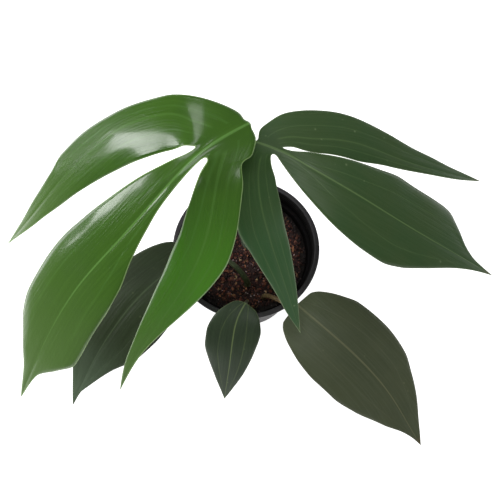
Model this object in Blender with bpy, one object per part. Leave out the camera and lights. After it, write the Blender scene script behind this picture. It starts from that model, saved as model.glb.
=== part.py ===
"""Potted dragon tail plant: nursery pot, potting mix, stem, growing tip, five petioles, five blades.

Origin: centre of the pot's underside. +Z up, -Y toward the plant's front. Metres.
Plant points are written in millimetres: x and y from the pot's axis, height above the rim's top.
"""
import bpy
import bmesh
import math
import numpy as np

MM = 0.001
CLEARANCE = 0.0003

# Nursery pot
RIM_RADIUS = 0.065
POT_HEIGHT = 0.112
BASE_RADIUS = 0.046
WALL = 0.0014
LIP_WIDTH = 0.0044
LIP_DROP = 0.0028
COLLAR_HEIGHT = 0.0125
COLLAR_TAPER = 0.0018
LEDGE_WIDTH = 0.0024
FLOOR = 0.0018
DRAIN_HOLES = 6
DRAIN_RADIUS = 0.0045
DRAIN_CIRCLE = 0.70
DRAIN_TURN = 0.29
POT_SIDES = 80

# Potting mix
SOIL_BELOW_RIM = 0.020
SOIL_DOME = 0.003
SOIL_LUMP = 0.0007
SOIL_RINGS = 11
SOIL_SIDES = 60

# Stem, growing tip and petioles
STEM_RADIUS = 0.0046
STEM_DEPTH = 0.014
STEM_LEAN_ROOM = 0.0012
STEM_TOP = 50
NODE_SWELL = 0.16
NODE_HEIGHTS = (-4, 8, 20, 32, 43)
STEM_PATH = ((25, -30, -14), (24, -29, 0), (16, -20, 24), (7, -11, STEM_TOP))
TUBE_SIDES = 12
TUBE_ROWS = 16
PETIOLE_SOCKET = 0.009

# Leaf blades
BLADE_THICKNESS = 0.0007

# A vein is a list of points; widths are (fraction along the vein, millimetres) pairs.
NEWEST_BLADE = {
    "midrib": [(2, 25, 176), (-27, 2, 182), (-51, -21, 175), (-81, -48, 156), (-110, -71, 133),
               (-140, -104, 100), (-166, -138, 60)],
    "left": [(0, 4), (.15, 3.5), (.22, 4.3), (.3, 6), (.37, 10), (.44, 15.8), (.52, 24), (.6, 27),
             (.74, 27.5), (.79, 27), (.84, 17.6), (.9, 5), (1, 0)],
    "right": [(0, 4), (.15, 5), (.2, 10), (.28, 18.7), (.39, 27.3), (.48, 32.2), (.55, 34.6), (.7, 32),
              (.76, 27.6), (.83, 17), (.9, 7.5), (1, 0)],
    "droop": .004,
    "heel": 2,
    "lobes": [
        {"side": "right", "root": .137, "blend": .2, "droop": .006,
         "vein": [(-8, 20, 179), (-29, 28, 180), (-56, 29, 174), (-82, 27, 160), (-108, 20, 140),
                  (-137, 8, 116), (-164, -7, 88), (-189, -18, 60)],
         "outer": [(0, 11), (.02, 14.5), (.09, 16), (.2, 19), (.36, 20.2), (.5, 21.6), (.6, 18.9),
                   (.66, 12.4), (.8, 7.2), (1, 0)],
         "inner": [(0, 22), (.03, 23.7), (.08, 24.9), (.14, 23), (.2, 22), (.28, 22.8), (.4, 21),
                   (.52, 17.5), (.65, 14.3), (.8, 8), (1, 0)]},
        {"side": "left", "root": .137, "blend": .25, "droop": .006,
         "vein": [(-6, 18, 179), (-14, 1, 179), (-20, -25, 168), (-26, -47, 150), (-40, -69, 126),
                  (-60, -90, 100), (-80, -111, 76), (-95, -132, 50)],
         "outer": [(0, 8), (.01, 12), (.03, 15), (.085, 17), (.1, 12), (.17, 17), (.37, 19), (.44, 17),
                   (.51, 14), (.6, 10), (.7, 6), (.8, 3), (1, 0)],
         "inner": [(0, 7), (.01, 4), (.06, 4.8), (.1, 6), (.15, 9.4), (.2, 13.2), (.26, 16.3), (.36, 18.6),
                   (.45, 20), (.57, 18), (.68, 14), (.8, 8), (.88, 5.3), (1, 0)]}]}

DARK_LOBED_BLADE = {
    "midrib": [(8, 21, 158), (24, 13, 161), (43, 2, 160), (75, -14, 151), (107, -27, 134),
               (143, -39, 112), (186, -50, 80)],
    "left": [(0, 3), (.09, 2.5), (.17, 10), (.26, 18), (.41, 26.8), (.51, 31), (.7, 31), (.74, 29.8),
             (.79, 20.6), (.84, 9.4), (.9, 3.4), (1, 0)],
    "right": [(0, 4), (.07, 3), (.09, 5.6), (.15, 12), (.23, 18.9), (.36, 27.9), (.47, 31.3), (.53, 32),
              (.6, 28.8), (.67, 22.7), (.81, 10), (.9, 4.4), (1, 0)],
    "droop": .004,
    "heel": 1,
    "lobes": [
        {"side": "left", "root": .08, "blend": .15, "droop": .006,
         "vein": [(12, 19, 159), (25, 24, 160), (52, 32, 154), (81, 33, 143), (113, 29, 126),
                  (148, 27, 104), (187, 29, 76)],
         "outer": [(0, 5), (.01, 10.5), (.05, 14.2), (.12, 17.8), (.25, 17), (.4, 13.5), (.55, 9.4),
                   (.7, 6.5), (.85, 3), (1, 0)],
         "inner": [(0, 7), (.05, 9.6), (.11, 12.8), (.2, 16.6), (.36, 18), (.5, 14.1), (.7, 8.4),
                   (.85, 5), (1, 0)]},
        {"side": "right", "root": .07, "blend": .15, "droop": .006,
         "vein": [(13, 18, 159), (10, 3, 152), (12, -16, 136), (18, -34, 114), (27, -53, 90),
                  (35, -70, 68), (43, -87, 46)],
         "outer": [(0, 6), (.03, 11), (.1, 14), (.2, 17), (.35, 20), (.47, 16), (.6, 12), (.74, 8),
                   (.83, 6), (1, 0)],
         "inner": [(0, 9), (.01, 7), (.05, 8), (.14, 11), (.3, 13), (.46, 13), (.6, 11), (.8, 6),
                   (1, 0)]}]}

RIGHT_ENTIRE_BLADE = {
    "midrib": [(42, -59, 26), (56, -72, 28), (76, -89, 25), (98, -108, 16), (121, -132, 0),
               (135, -151, -14), (148, -168, -28)],
    "left": [(0, 0), (.01, 15.6), (.06, 24), (.15, 31.5), (.24, 36.4), (.4, 37.7), (.56, 33.7),
             (.65, 26.9), (.74, 20), (.84, 12.5), (.92, 6.4), (1, 0)],
    "right": [(0, 0), (.01, 18.5), (.06, 26), (.11, 30), (.2, 35), (.31, 37.5), (.44, 37.3), (.59, 32.3),
              (.77, 18.6), (.87, 7.4), (.94, 2.5), (1, 0)],
    "droop": .003,
    "heel": 0,
    "lobes": []}

SMALL_ENTIRE_BLADE = {
    "midrib": [(0, -56, 20), (-6, -67, 19), (-11, -86, 10), (-14, -104, -8), (-17, -118, -26),
               (-19, -128, -40)],
    "left": [(0, 0), (.02, 11), (.11, 19), (.25, 22), (.44, 19), (.62, 14), (.82, 7), (1, 0)],
    "right": [(0, 0), (.02, 7), (.1, 14), (.19, 20), (.3, 23), (.4, 23), (.56, 19), (.77, 10), (.9, 4),
              (1, 0)],
    "droop": .004,
    "heel": 0,
    "lobes": []}

LEFT_ENTIRE_BLADE = {
    "midrib": [(-46, -16, 24), (-66, -32, 27), (-88, -52, 25), (-110, -78, 16), (-129, -104, 0),
               (-148, -135, -24)],
    "left": [(0, 0), (.02, 17), (.1, 28), (.22, 33), (.4, 35.4), (.56, 31.5), (.72, 17), (.85, 6.6),
             (.92, 1.5), (1, 0)],
    "right": [(0, 0), (.02, 18.4), (.1, 26), (.22, 30.4), (.4, 34), (.56, 31), (.72, 22), (.85, 11),
              (.93, 5.2), (1, 0)],
    "droop": .003,
    "heel": 0,
    "lobes": []}

# Petioles: where they leave the stem (height), the way out, the bends, and radii at both ends.
PETIOLES = {
    "newest_petiole": {"blade": NEWEST_BLADE, "from": "stem_top", "bends": [(4, 1, 92), (2, 14, 135)],
                       "radii": (3.1, 1.9)},
    "dark_lobed_petiole": {"blade": DARK_LOBED_BLADE, "from": 34, "way": (1, .3, 1.5),
                           "bends": [(16, -8, 76), (14, 5, 116)], "radii": (2.8, 1.8)},
    "right_entire_petiole": {"blade": RIGHT_ENTIRE_BLADE, "from": "soil", "foot": (16, -41),
                             "bends": [(24, -47, 2)], "radii": (2.2, 1.6)},
    "small_entire_petiole": {"blade": SMALL_ENTIRE_BLADE, "from": "soil", "foot": (1, -48.5),
                             "bends": [(1, -50.5, 4)], "radii": (1.7, 1.2)},
    "left_entire_petiole": {"blade": LEFT_ENTIRE_BLADE, "from": "soil", "foot": (1, -28),
                            "bends": [(-12, -17, 4), (-27, -12, 9)], "radii": (2.9, 1.7)}}
BLADE_SEAT = .012

# Growing tip
TIP_SEAT = 44
TIP_WAY = (-1, -.6, 1.8)
TIP_PATH = [(-2, -17, 66), (-5, -18, 86)]
TIP_RADII = (2.6, 0.5)


def clear_scene():
    for thing in list(bpy.data.objects):
        bpy.data.objects.remove(thing, do_unlink=True)


def material(name, colour, roughness):
    made = bpy.data.materials.new(name)
    made.use_nodes = True
    shader = made.node_tree.nodes["Principled BSDF"]
    shader.inputs["Base Color"].default_value = (*colour, 1)
    shader.inputs["Roughness"].default_value = roughness
    return made


def add_object(name, points, faces, paint, smooth=True):
    """Points in metres; faces of any size; outward normals are set here."""
    mesh = bpy.data.meshes.new(name)
    body = bmesh.new()
    corners = [body.verts.new(tuple(float(c) for c in point)) for point in points]
    for face in faces:
        body.faces.new([corners[i] for i in face])
    bmesh.ops.recalc_face_normals(body, faces=body.faces)
    body.to_mesh(mesh)
    body.free()
    for polygon in mesh.polygons:
        polygon.use_smooth = smooth
    made = bpy.data.objects.new(name, mesh)
    bpy.context.scene.collection.objects.link(made)
    mesh.materials.append(paint)
    return made


def rim_frame(points):
    """Millimetre points above the rim, as metres in the part's frame."""
    return np.array(points, float) * MM + np.array([0, 0, POT_HEIGHT])


def ease(value):
    value = np.clip(value, 0, 1)
    return value * value * (3 - 2 * value)


def table(pairs, value):
    """Smooth monotone curve through (fraction, width) pairs."""
    at, width = (np.array(column, float) for column in zip(*pairs))
    step = np.diff(at)
    slope = np.diff(width) / step
    turn = np.zeros(len(at))
    turn[0] = slope[0]
    turn[-1] = slope[-1]
    for i in range(1, len(at) - 1):
        if slope[i - 1] * slope[i] > 0:
            turn[i] = 2 * slope[i - 1] * slope[i] / (slope[i - 1] + slope[i])
    i = int(np.clip(np.searchsorted(at, value, side="right") - 1, 0, len(at) - 2))
    t = (value - at[i]) / step[i]
    return (width[i] * (1 + 2 * t) * (1 - t) ** 2 + step[i] * turn[i] * t * (1 - t) ** 2
            + width[i + 1] * t * t * (3 - 2 * t) + step[i] * turn[i + 1] * t * t * (t - 1))


class Curve:
    """Natural cubic through a few points, read by fraction of its length."""

    def __init__(self, points, samples=240):
        knots = np.array(points, float)
        reach = np.r_[0, np.cumsum(np.linalg.norm(np.diff(knots, axis=0), axis=1))]
        count = len(knots)
        gap = np.diff(reach)
        matrix = np.eye(count)
        rhs = np.zeros((count, 3))
        for i in range(1, count - 1):
            matrix[i, i - 1:i + 2] = gap[i - 1], 2 * (gap[i - 1] + gap[i]), gap[i]
            rhs[i] = 6 * ((knots[i + 1] - knots[i]) / gap[i] - (knots[i] - knots[i - 1]) / gap[i - 1])
        bend = np.linalg.solve(matrix, rhs)
        along = np.linspace(0, reach[-1], samples)
        i = np.clip(np.searchsorted(reach, along, side="right") - 1, 0, count - 2)
        a = ((reach[i + 1] - along) / gap[i])[:, None]
        b = 1 - a
        self.line = (a * knots[i] + b * knots[i + 1]
                     + ((a ** 3 - a) * bend[i] + (b ** 3 - b) * bend[i + 1]) * (gap[i] ** 2)[:, None] / 6)
        run = np.r_[0, np.cumsum(np.linalg.norm(np.diff(self.line, axis=0), axis=1))]
        self.length = run[-1]
        self.fraction = run / run[-1]

    def at(self, value):
        return np.array([np.interp(value, self.fraction, self.line[:, axis]) for axis in range(3)])

    def along(self, value):
        step = self.at(min(value + .002, 1)) - self.at(max(value - .002, 0))
        return step / np.linalg.norm(step)

    def side(self, value):
        across = np.cross((0, 0, 1), self.along(value))
        return across / np.linalg.norm(across)

    def up(self, value):
        return np.cross(self.along(value), self.side(value))


def lathe(profile, sides):
    """Closed ring of (radius, height) points turned about Z; the ends lie on the axis."""
    points = [(0, 0, profile[0][1])]
    for radius, height in profile[1:-1]:
        for k in range(sides):
            angle = 2 * math.pi * k / sides
            points.append((radius * math.cos(angle), radius * math.sin(angle), height))
    points.append((0, 0, profile[-1][1]))
    faces = []
    rings = len(profile) - 2
    for k in range(sides):
        nxt = (k + 1) % sides
        faces.append((0, 1 + nxt, 1 + k))
        for ring in range(rings - 1):
            low = 1 + ring * sides
            faces.append((low + k, low + nxt, low + sides + nxt, low + sides + k))
        last = 1 + (rings - 1) * sides
        faces.append((last + k, last + nxt, len(points) - 1))
    return points, faces


def inner_wall_radius(height):
    """Inside radius of the tapered wall, between the floor and the ledge."""
    top = POT_HEIGHT - COLLAR_HEIGHT - LIP_DROP
    low = BASE_RADIUS - WALL
    high = RIM_RADIUS - LIP_WIDTH - COLLAR_TAPER - LEDGE_WIDTH
    return low + (high - low) * (height - FLOOR) / (top - FLOOR)


def pot_profile():
    ledge = POT_HEIGHT - COLLAR_HEIGHT - LIP_DROP
    wall_top = inner_wall_radius(ledge)
    collar_low = wall_top + LEDGE_WIDTH
    collar_high = RIM_RADIUS - LIP_WIDTH
    lip_low = POT_HEIGHT - LIP_DROP
    bevel = WALL / 2
    hub = BASE_RADIUS * DRAIN_CIRCLE - 2 * DRAIN_RADIUS
    return [(0, 0), (hub, 0), (BASE_RADIUS - WALL, 0), (BASE_RADIUS, WALL),
            (wall_top + WALL, ledge - WALL), (collar_low + WALL, ledge + WALL),
            (collar_high + WALL, lip_low), (RIM_RADIUS - bevel, lip_low), (RIM_RADIUS, lip_low + bevel),
            (RIM_RADIUS, POT_HEIGHT - bevel), (RIM_RADIUS - bevel, POT_HEIGHT),
            (collar_high + bevel, POT_HEIGHT), (collar_high, POT_HEIGHT - bevel),
            (collar_low, ledge + WALL), (wall_top, ledge), (inner_wall_radius(FLOOR + WALL), FLOOR + WALL),
            (BASE_RADIUS - 2 * WALL, FLOOR), (hub, FLOOR), (0, FLOOR)]


def drill(target, places, radius, low, high):
    """Round holes through the target, at (x, y) places between two heights."""
    cutters = []
    for x, y in places:
        ring = [(radius * math.cos(math.pi * k / 8), radius * math.sin(math.pi * k / 8)) for k in range(16)]
        points = [(x + u, y + v, z) for z in (low, high) for u, v in ring]
        faces = [tuple(range(16)), tuple(range(16, 32))]
        faces += [(k, (k + 1) % 16, 16 + (k + 1) % 16, 16 + k) for k in range(16)]
        cutter = add_object(f"{target.name}_hole_{len(cutters)}", points, faces, target.data.materials[0])
        cutter.hide_render = True
        cutter.display_type = "WIRE"
        cutters.append(cutter)
        cut = target.modifiers.new(cutter.name, "BOOLEAN")
        cut.operation = "DIFFERENCE"
        cut.solver = "EXACT"
        cut.object = cutter
    bpy.context.view_layer.update()
    cut_mesh = bpy.data.meshes.new_from_object(target.evaluated_get(bpy.context.evaluated_depsgraph_get()))
    target.modifiers.clear()
    target.data = cut_mesh
    for cutter in cutters:
        bpy.data.objects.remove(cutter, do_unlink=True)


def build_pot(paint):
    pot = add_object("pot", *lathe(pot_profile(), POT_SIDES), paint)
    circle = BASE_RADIUS * DRAIN_CIRCLE
    places = []
    for k in range(DRAIN_HOLES):
        angle = 2 * math.pi * (k + DRAIN_TURN) / DRAIN_HOLES
        places.append((circle * math.cos(angle), circle * math.sin(angle)))
    drill(pot, places, DRAIN_RADIUS, -FLOOR, 2 * FLOOR)


def soil_height(x, y):
    """Top of the potting mix: a low dome with soft lumps."""
    edge = inner_wall_radius(POT_HEIGHT - SOIL_BELOW_RIM)
    dome = SOIL_DOME * (1 - (x * x + y * y) / edge ** 2)
    lumps = math.sin(210 * x + 1.3) * math.cos(260 * y - .4) + math.sin(390 * y + 130 * x)
    return POT_HEIGHT - SOIL_BELOW_RIM - SOIL_DOME + dome + SOIL_LUMP * lumps


def build_soil(paint):
    """A plug that fills the pot; its top is lumpy and its side follows the wall."""
    low = FLOOR + CLEARANCE
    corner = low + 2 * WALL
    points = [(0, 0, low)]
    side = 2 * CLEARANCE
    rings = [(BASE_RADIUS - 4 * WALL, low), (inner_wall_radius(corner) - side, corner)]
    edge_height = POT_HEIGHT - SOIL_BELOW_RIM - SOIL_DOME - 2 * SOIL_LUMP
    rings.append((inner_wall_radius(edge_height) - side, edge_height))
    edge = rings[-1][0]
    for radius, height in rings:
        for k in range(SOIL_SIDES):
            angle = 2 * math.pi * k / SOIL_SIDES
            points.append((radius * math.cos(angle), radius * math.sin(angle), height))
    for ring in range(SOIL_RINGS, 0, -1):
        radius = edge * (ring - .4) / SOIL_RINGS
        for k in range(SOIL_SIDES):
            angle = 2 * math.pi * k / SOIL_SIDES
            x = radius * math.cos(angle)
            y = radius * math.sin(angle)
            points.append((x, y, soil_height(x, y)))
    points.append((0, 0, soil_height(0, 0)))
    faces = []
    count = len(rings) + SOIL_RINGS
    for k in range(SOIL_SIDES):
        nxt = (k + 1) % SOIL_SIDES
        faces.append((0, 1 + nxt, 1 + k))
        for ring in range(count - 1):
            start = 1 + ring * SOIL_SIDES
            faces.append((start + k, start + nxt, start + SOIL_SIDES + nxt, start + SOIL_SIDES + k))
        last = 1 + (count - 1) * SOIL_SIDES
        faces.append((last + k, last + nxt, len(points) - 1))
    soil = add_object("potting_mix", points, faces, paint)
    top = POT_HEIGHT
    socket_middle = stem_at((-SOIL_BELOW_RIM - STEM_DEPTH / 2) / MM)[0]
    hole = STEM_RADIUS * (1 + NODE_SWELL) + 2 * CLEARANCE + STEM_LEAN_ROOM
    drill(soil, [socket_middle[:2]], hole, top - SOIL_BELOW_RIM - STEM_DEPTH - STEM_LEAN_ROOM, top)
    for petiole in PETIOLES.values():
        if petiole["from"] == "soil":
            foot = [c * MM for c in petiole["foot"]]
            socket = petiole["radii"][0] * MM + 3 * CLEARANCE
            drill(soil, [foot], socket, top - SOIL_BELOW_RIM - PETIOLE_SOCKET, top)


def tube(curve, radius_at, rows=TUBE_ROWS, sides=TUBE_SIDES):
    """Round solid along a curve, flat at both ends."""
    points = []
    guide = np.array((.9, .3, .1))
    for row in range(rows + 1):
        value = row / rows
        along = curve.along(value)
        across = np.cross(along, guide)
        across /= np.linalg.norm(across)
        other = np.cross(along, across)
        for k in range(sides):
            angle = 2 * math.pi * k / sides
            ray = across * math.cos(angle) + other * math.sin(angle)
            points.append(curve.at(value) + ray * radius_at(value))
    faces = [tuple(range(sides)), tuple(range(rows * sides, (rows + 1) * sides))]
    for row in range(rows):
        for k in range(sides):
            nxt = (k + 1) % sides
            low = row * sides
            faces.append((low + k, low + nxt, low + sides + nxt, low + sides + k))
    return points, faces


def stem_curve():
    path = rim_frame(STEM_PATH)
    path[0, 2] = POT_HEIGHT - SOIL_BELOW_RIM - STEM_DEPTH + CLEARANCE
    return Curve(path)


def stem_radius(curve, value):
    """Stem radius, swollen at each node."""
    height = (curve.at(value)[2] - POT_HEIGHT) / MM
    swell = sum(math.exp(-((height - node) / 1.6) ** 2) for node in NODE_HEIGHTS)
    return STEM_RADIUS * (1 + NODE_SWELL * min(swell, 1)) * (1 - .25 * value)


def stem_at(height):
    """Fraction along the stem, point and radius at a height in millimetres above the rim."""
    curve = stem_curve()
    values = np.linspace(0, 1, 200)
    heights = [curve.at(value)[2] for value in values]
    value = float(np.interp(POT_HEIGHT + height * MM, heights, values))
    return curve.at(value), stem_radius(curve, value), curve.along(value)


def leave_stem(height, way, radius):
    """First two points of a petiole that leaves the stem sideways."""
    centre, stem, along = stem_at(height)
    way = np.array(way, float)
    way /= np.linalg.norm(way)
    flat = way - along * way.dot(along)
    flat /= np.linalg.norm(flat)
    lift = abs(way.dot(along))
    reach = STEM_RADIUS * (1 + NODE_SWELL) + CLEARANCE + radius * lift
    start = centre + flat * reach
    return [start, start + way * 2.2 * radius]


def blade_seat(blade):
    """Point and upward normal on the midrib where the petiole meets the blade's underside."""
    curve = Curve(rim_frame(blade["midrib"]))
    return curve.at(BLADE_SEAT), curve.up(BLADE_SEAT)


def build_petiole(name, spec, paint):
    foot_radius, end_radius = (radius * MM for radius in spec["radii"])
    if spec["from"] == "stem_top":
        curve = stem_curve()
        along = curve.along(1)
        start = curve.at(1) + along * CLEARANCE
        first = [start, start + along * 2 * foot_radius]
    elif spec["from"] == "soil":
        x, y = (c * MM for c in spec["foot"])
        low = POT_HEIGHT - SOIL_BELOW_RIM - PETIOLE_SOCKET + CLEARANCE
        clear = PETIOLE_SOCKET + foot_radius
        first = [np.array((x, y, low + clear * part)) for part in (0, .5, 1)]
    else:
        first = leave_stem(spec["from"], spec["way"], foot_radius)
    seat, up = blade_seat(spec["blade"])
    end = seat - up * (BLADE_THICKNESS / 2 + 2 * CLEARANCE)
    approach = end - up * 3.2 * end_radius
    path = Curve(first + [point for point in rim_frame(spec["bends"])] + [approach, end])

    def radius_at(value):
        swell = 1 + .25 * math.exp(-((value - .94) / .05) ** 2)
        return (foot_radius + (end_radius - foot_radius) * ease(value * 1.3)) * swell

    add_object(name, *tube(path, radius_at), paint)


def build_growing_tip(paint):
    foot, tip = (radius * MM for radius in TIP_RADII)
    first = leave_stem(TIP_SEAT, TIP_WAY, foot)
    path = Curve(first + [point for point in rim_frame(TIP_PATH)])

    def radius_at(value):
        return foot + (tip - foot) * value ** 1.6

    add_object("growing_tip", *tube(path, radius_at, rows=12), paint)


def blade_surface(blade, root_steps, rows, cells, lobe_rows):
    """Middle strip along the midrib, with each side lobe growing from the strip's edge."""
    midrib = Curve(rim_frame(blade["midrib"]))
    roots = sorted({lobe["root"] for lobe in blade["lobes"]})
    if roots:
        stations = list(np.linspace(0, roots[0], root_steps + 1))
        for low, high in zip(roots, roots[1:]):
            stations += list(np.linspace(low, high, 3)[1:])
        stations += list(np.linspace(roots[-1], 1, rows + 1)[1:])
    else:
        stations = list(np.linspace(0, 1, rows + 1) ** 1.5)
    points = []
    faces = []
    strip = np.zeros((len(stations), 2 * cells + 1), int)
    across = np.linspace(-1, 1, 2 * cells + 1)
    for i, value in enumerate(stations):
        if i == len(stations) - 1 or (i == 0 and not roots):
            strip[i, :] = len(points)
            points.append(midrib.at(value))
            continue
        heel = blade["heel"] * MM * (1 - ease(value / .04))
        for j, u in enumerate(across):
            width = u * table(blade["left" if u > 0 else "right"], value)
            lift = -blade["droop"] * width * width
            strip[i, j] = len(points)
            points.append(midrib.at(value) + (midrib.side(value) * width + midrib.up(value) * lift) * MM
                          - midrib.along(value) * heel * (1 - u * u))

    def add_faces(grid):
        for i in range(grid.shape[0] - 1):
            for j in range(grid.shape[1] - 1):
                loop = (grid[i, j], grid[i + 1, j], grid[i + 1, j + 1], grid[i, j + 1])
                loop = [int(loop[k]) for k in range(4) if loop[k] != loop[k - 1]]
                if len(loop) > 2:
                    faces.append(loop)

    add_faces(strip)
    for lobe in blade["lobes"]:
        turn = 1 if lobe["side"] == "right" else -1
        column = 0 if lobe["side"] == "right" else -1
        shared = [strip[i, column] for i, value in enumerate(stations) if value <= lobe["root"] + 1e-9]
        edge = np.array([points[k] for k in shared])
        across_lobe = np.linspace(-1, 1, len(shared))
        vein = Curve(rim_frame(lobe["vein"]))

        def row_at(value):
            outer = table(lobe["outer"], value)
            inner = table(lobe["inner"], value)
            width = np.where(across_lobe < 0, across_lobe * outer, across_lobe * inner)
            lift = -lobe["droop"] * width * width
            return (vein.at(value) + (np.outer(turn * width, vein.side(value))
                                      + np.outer(lift, vein.up(value))) * MM)

        start = row_at(0)
        grid = [shared]
        for row in range(1, lobe_rows):
            value = (row / lobe_rows) ** 1.15
            pull = 1 - ease(value / lobe["blend"])
            grid.append(range(len(points), len(points) + len(shared)))
            points.extend(row_at(value) + pull * (edge - start))
        grid.append([len(points)] * len(shared))
        points.append(vein.at(1))
        grid = np.array([list(line) for line in grid])
        add_faces(grid if turn > 0 else grid[:, ::-1])
    return np.array(points), faces


def thicken(points, faces, thickness):
    """Closed sheet of even thickness about an open surface."""
    normals = np.zeros_like(points)
    for face in faces:
        a, b, c = (points[face[k]] for k in (0, 1, 2))
        normal = np.cross(b - a, c - a)
        if len(face) == 4:
            normal += np.cross(c - a, points[face[3]] - a)
        normals[face] += normal
    normals /= np.linalg.norm(normals, axis=1)[:, None]
    count = len(points)
    solid = np.vstack((points + normals * thickness / 2, points - normals * thickness / 2))
    shell = [tuple(face) for face in faces] + [tuple(k + count for k in face[::-1]) for face in faces]
    edges = {}
    for face in faces:
        for k in range(len(face)):
            pair = (face[k], face[(k + 1) % len(face)])
            edges[tuple(sorted(pair))] = None if tuple(sorted(pair)) in edges else pair
    for pair in edges.values():
        if pair:
            shell.append((pair[1], pair[0], pair[0] + count, pair[1] + count))
    return solid, shell


def build_blade(name, blade, paint):
    size = (6, 14, 2, 18) if blade["lobes"] else (6, 16, 3, 0)
    points, faces = blade_surface(blade, *size)
    add_object(name, *thicken(points, faces, BLADE_THICKNESS), paint)


def main():
    clear_scene()
    build_pot(material("pot_plastic", (.012, .011, .012), .5))
    build_soil(material("potting_mix", (.035, .02, .015), .95))
    stem = stem_curve()
    stem_paint = material("stem_green", (.10, .16, .04), .5)
    add_object("stem", *tube(stem, lambda value: stem_radius(stem, value), rows=34), stem_paint)
    build_growing_tip(material("growing_tip", (.17, .34, .06), .4))
    petiole_colours = {"newest_petiole": (.12, .26, .05), "dark_lobed_petiole": (.10, .16, .05),
                       "right_entire_petiole": (.20, .14, .07), "small_entire_petiole": (.07, .10, .04),
                       "left_entire_petiole": (.10, .13, .06)}
    for name, spec in PETIOLES.items():
        build_petiole(name, spec, material(name, petiole_colours[name], .5))
    build_blade("newest_blade", NEWEST_BLADE, material("newest_blade", (.05, .16, .015), .25))
    build_blade("dark_lobed_blade", DARK_LOBED_BLADE, material("dark_lobed_blade", (.03, .065, .02), .35))
    build_blade("right_entire_blade", RIGHT_ENTIRE_BLADE,
                material("right_entire_blade", (.045, .06, .03), .45))
    build_blade("small_entire_blade", SMALL_ENTIRE_BLADE,
                material("small_entire_blade", (.03, .055, .022), .45))
    build_blade("left_entire_blade", LEFT_ENTIRE_BLADE,
                material("left_entire_blade", (.022, .04, .018), .4))


main()
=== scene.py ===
"""Looks for the potted dragon tail plant: glossy lobed leaves, dull entire leaves, stalks, mix and pot.

Lengths in the tables are millimetres: x and y from the pot's axis, height above the rim's top.
"""

import math

import bpy
import bmesh
import numpy as np
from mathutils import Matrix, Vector


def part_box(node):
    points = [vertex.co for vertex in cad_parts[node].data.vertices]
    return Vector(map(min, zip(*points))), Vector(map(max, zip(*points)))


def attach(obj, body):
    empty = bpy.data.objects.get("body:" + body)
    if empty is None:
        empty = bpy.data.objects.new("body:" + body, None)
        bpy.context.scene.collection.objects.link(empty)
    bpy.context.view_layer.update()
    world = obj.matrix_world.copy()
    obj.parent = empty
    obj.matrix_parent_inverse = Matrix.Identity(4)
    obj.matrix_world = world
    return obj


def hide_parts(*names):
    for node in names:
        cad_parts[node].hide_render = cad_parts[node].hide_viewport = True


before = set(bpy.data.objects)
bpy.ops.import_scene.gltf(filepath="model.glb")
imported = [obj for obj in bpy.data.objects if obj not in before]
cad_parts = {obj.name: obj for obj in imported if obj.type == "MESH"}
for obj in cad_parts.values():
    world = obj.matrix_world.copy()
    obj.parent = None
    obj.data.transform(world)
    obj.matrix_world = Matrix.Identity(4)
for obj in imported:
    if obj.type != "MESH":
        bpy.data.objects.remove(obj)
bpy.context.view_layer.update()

MM = 0.001
RIM_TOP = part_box("pot")[1][2]
RIM_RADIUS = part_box("pot")[1][0]

# ---------------------------------------------------------------- leaf blades: shape tables
# midrib or vein: points; left, right, outer, inner: (fraction along the vein, width) pairs;
# nerve: (fraction along, fraction of the half width) of the long side nerve. early: share of each
# half's drop that starts at the vein. shift: (fraction along, how far the drawn vein lies off the vein).

NERVE_WIDE = [(0, .2), (.15, .22), (.3, .42), (.5, .54), (.8, .6), (1, .5)]
NERVE_LOBE = [(0, .45), (.2, .45), (.5, .52), (.8, .55), (1, .5)]
NERVE_ENTIRE = [(0, .3), (.15, .42), (.4, .5), (.75, .55), (1, .5)]
LOBED = {"nerve": NERVE_WIDE, "droop": .004, "early": (.4, .4), "puff": .4}
ENTIRE = {"nerve": NERVE_ENTIRE, "droop": .003, "early": (.4, .4), "puff": .4, "heel": 0, "lobes": []}
LOBE = {"nerve": NERVE_LOBE, "droop": .006, "early": (.4, .4), "blend": .15, "shift": [(0, 0), (1, 0)]}

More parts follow.
